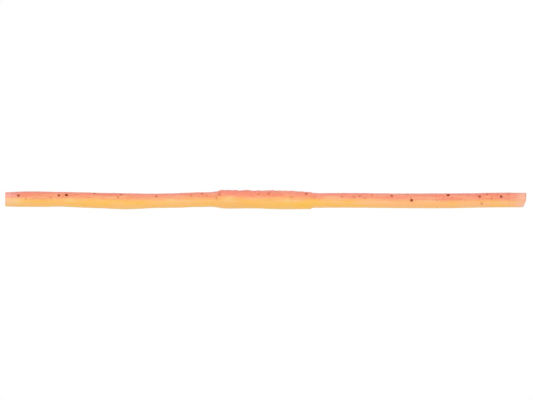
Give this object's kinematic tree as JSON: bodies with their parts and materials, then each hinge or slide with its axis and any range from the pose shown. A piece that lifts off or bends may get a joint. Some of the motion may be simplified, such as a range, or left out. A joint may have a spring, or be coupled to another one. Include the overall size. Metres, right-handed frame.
{
  "type": "soft plastic worm",
  "caption": "Slender soft fishing worm with a raised collar at mid length, pink back over amber belly, dark glitter flakes, bending all along its length.",
  "frame": {"origin": "middle of the underside of the worm's box, with the worm lying straight and its belly down", "axes": "+X from the square head end to the nipped tail end, +Z from the belly to the back, Y across"},
  "size_m": [0.0762, 0.0028, 0.0028],
  "materials": {
    "pink_back": "satin",
    "amber_belly": "satin",
    "dark_flake": "gloss"
  },
  "bodies": {
    "segment_01": {"back_01": "pink_back", "belly_01": "amber_belly", "flakes_01": "dark_flake"},
    "segment_02": {"back_02": "pink_back", "belly_02": "amber_belly", "flakes_02": "dark_flake"},
    "segment_03": {"back_03": "pink_back", "belly_03": "amber_belly", "flakes_03": "dark_flake"},
    "segment_04": {"back_04": "pink_back", "belly_04": "amber_belly", "flakes_04": "dark_flake"},
    "segment_05": {"back_05": "pink_back", "belly_05": "amber_belly", "flakes_05": "dark_flake"},
    "segment_06": {"back_06": "pink_back", "belly_06": "amber_belly", "flakes_06": "dark_flake"},
    "segment_07": {"back_07": "pink_back", "belly_07": "amber_belly", "flakes_07": "dark_flake"},
    "segment_08": {"back_08": "pink_back", "belly_08": "amber_belly", "flakes_08": "dark_flake"},
    "segment_09": {"back_09": "pink_back", "belly_09": "amber_belly", "flakes_09": "dark_flake"},
    "segment_10": {"back_10": "pink_back", "belly_10": "amber_belly", "flakes_10": "dark_flake"},
    "segment_11": {"back_11": "pink_back", "belly_11": "amber_belly", "flakes_11": "dark_flake"},
    "segment_12": {"back_12": "pink_back", "belly_12": "amber_belly", "flakes_12": "dark_flake"},
    "segment_13": {"back_13": "pink_back", "belly_13": "amber_belly", "flakes_13": "dark_flake"},
    "segment_14": {"back_14": "pink_back", "belly_14": "amber_belly", "flakes_14": "dark_flake"},
    "segment_15": {"back_15": "pink_back", "belly_15": "amber_belly", "flakes_15": "dark_flake"},
    "segment_16": {"back_16": "pink_back", "belly_16": "amber_belly", "flakes_16": "dark_flake"}
  },
  "joints": [
    {"name": "lift_bend_01", "type": "hinge", "parent": "segment_02", "child": "segment_01", "pos_m": [-0.03334, 0, 0.00148], "axis": [0, -1, 0], "range_deg": [-45, 45], "stiffness_Nm_per_rad": 0.000013},
    {"name": "side_bend_02", "type": "hinge", "parent": "segment_03", "child": "segment_02", "pos_m": [-0.02857, 0, 0.00142], "axis": [0, 0, 1], "range_deg": [-45, 45], "stiffness_Nm_per_rad": 0.000012},
    {"name": "lift_bend_03", "type": "hinge", "parent": "segment_04", "child": "segment_03", "pos_m": [-0.02381, 0, 0.00127], "axis": [0, -1, 0], "range_deg": [-45, 45], "stiffness_Nm_per_rad": 0.000014},
    {"name": "side_bend_04", "type": "hinge", "parent": "segment_05", "child": "segment_04", "pos_m": [-0.01905, 0, 0.00119], "axis": [0, 0, 1], "range_deg": [-45, 45], "stiffness_Nm_per_rad": 0.000014},
    {"name": "lift_bend_05", "type": "hinge", "parent": "segment_06", "child": "segment_05", "pos_m": [-0.01429, 0, 0.00127], "axis": [0, -1, 0], "range_deg": [-45, 45], "stiffness_Nm_per_rad": 0.00001},
    {"name": "side_bend_06", "type": "hinge", "parent": "segment_07", "child": "segment_06", "pos_m": [-0.00953, 0, 0.00142], "axis": [0, 0, 1], "range_deg": [-45, 45], "stiffness_Nm_per_rad": 0.000011},
    {"name": "lift_bend_07", "type": "hinge", "parent": "segment_08", "child": "segment_07", "pos_m": [-0.00476, 0, 0.00146], "axis": [0, -1, 0], "range_deg": [-45, 45], "stiffness_Nm_per_rad": 0.000028},
    {"name": "side_bend_08", "type": "hinge", "parent": "segment_08", "child": "segment_09", "pos_m": [0, 0, 0.00142], "axis": [0, 0, 1], "range_deg": [-45, 45], "stiffness_Nm_per_rad": 0.000026},
    {"name": "lift_bend_09", "type": "hinge", "parent": "segment_09", "child": "segment_10", "pos_m": [0.00476, 0, 0.00133], "axis": [0, -1, 0], "range_deg": [-45, 45], "stiffness_Nm_per_rad": 0.000024},
    {"name": "side_bend_10", "type": "hinge", "parent": "segment_10", "child": "segment_11", "pos_m": [0.00953, 0, 0.00131], "axis": [0, 0, 1], "range_deg": [-45, 45], "stiffness_Nm_per_rad": 0.000011},
    {"name": "lift_bend_11", "type": "hinge", "parent": "segment_11", "child": "segment_12", "pos_m": [0.01429, 0, 0.0013], "axis": [0, -1, 0], "range_deg": [-45, 45], "stiffness_Nm_per_rad": 0.000011},
    {"name": "side_bend_12", "type": "hinge", "parent": "segment_12", "child": "segment_13", "pos_m": [0.01905, 0, 0.00126], "axis": [0, 0, 1], "range_deg": [-45, 45], "stiffness_Nm_per_rad": 0.000011},
    {"name": "lift_bend_13", "type": "hinge", "parent": "segment_13", "child": "segment_14", "pos_m": [0.02381, 0, 0.00124], "axis": [0, -1, 0], "range_deg": [-45, 45], "stiffness_Nm_per_rad": 0.000012},
    {"name": "side_bend_14", "type": "hinge", "parent": "segment_14", "child": "segment_15", "pos_m": [0.02857, 0, 0.00128], "axis": [0, 0, 1], "range_deg": [-45, 45], "stiffness_Nm_per_rad": 0.000011},
    {"name": "lift_bend_15", "type": "hinge", "parent": "segment_15", "child": "segment_16", "pos_m": [0.03334, 0, 0.00135], "axis": [0, -1, 0], "range_deg": [-45, 45], "stiffness_Nm_per_rad": 0.000011}
  ]
}
